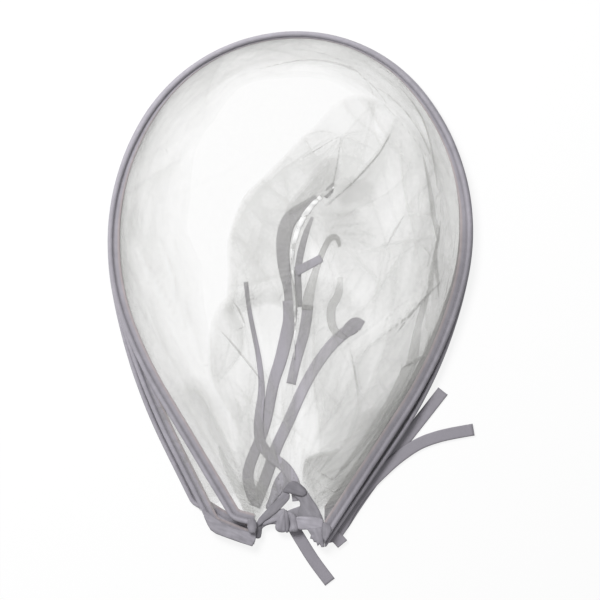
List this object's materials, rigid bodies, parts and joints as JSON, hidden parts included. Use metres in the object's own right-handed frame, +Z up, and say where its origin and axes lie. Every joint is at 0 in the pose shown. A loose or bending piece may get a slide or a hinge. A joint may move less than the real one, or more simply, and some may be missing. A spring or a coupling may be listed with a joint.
{
  "type": "folding beekeeping veil",
  "caption": "Folding beekeeping veil, lying flat: spring wire hoops in sewn tape casings with sheer net panels, a gathered collar and tape ties at the neck.",
  "frame": {"origin": "middle of the folded veil's outline in X and Y, on the surface that it lies on", "axes": "+Y towards the crown of the hoops, +Z up from the surface, +X to the right when the crown points away"},
  "size_m": [0.3666, 0.5537, 0.0144],
  "materials": {
    "net": "sheer white polyester net",
    "tape": "woven grey-violet bias tape",
    "gathered_tape": "gathered grey tape with a frilled white edge",
    "ribbon": "flat woven polyester ribbon",
    "spring_wire": "drawn spring steel",
    "wire_tip": "moulded nylon"
  },
  "bodies": {
    "root": {"rear_hoop_casing": "tape", "rear_hoop_wire": "spring_wire", "rear_wire_tips": "wire_tip", "back_net": "net", "rear_gusset_net": "net", "collar_net": "net", "drawstring_channel": "gathered_tape", "left_corner_tab": "tape", "right_corner_tab": "tape", "neck_tie_left": "tape", "neck_tie_right": "tape", "neck_tie_knot": "tape", "neck_binding": "tape", "neck_tie_tail": "ribbon", "side_tie_upper": "ribbon", "side_tie_lower": "ribbon", "side_tie_short": "ribbon", "inner_tie_left": "ribbon", "inner_tie_wide": "ribbon", "inner_tie_short": "ribbon", "inner_tie_diagonal": "ribbon"},
    "middle_hoop": {"middle_hoop_casing": "tape", "middle_hoop_wire": "spring_wire", "middle_wire_tips": "wire_tip", "front_gusset_net": "net"},
    "front_hoop": {"front_hoop_casing": "tape", "front_hoop_wire": "spring_wire", "front_wire_tips": "wire_tip", "face_net": "net"}
  },
  "joints": [
    {"name": "middle_hoop_swing", "type": "hinge", "parent": "root", "child": "middle_hoop", "pos_m": [0, -0.257, 0.00475], "axis": [1, 0, 0], "range_deg": [0, 50], "deforming": ["rear_gusset_net"]},
    {"name": "front_hoop_swing", "type": "hinge", "parent": "middle_hoop", "child": "front_hoop", "pos_m": [0, -0.257, 0.00965], "axis": [1, 0, 0], "range_deg": [0, 50], "deforming": ["front_gusset_net"]}
  ]
}
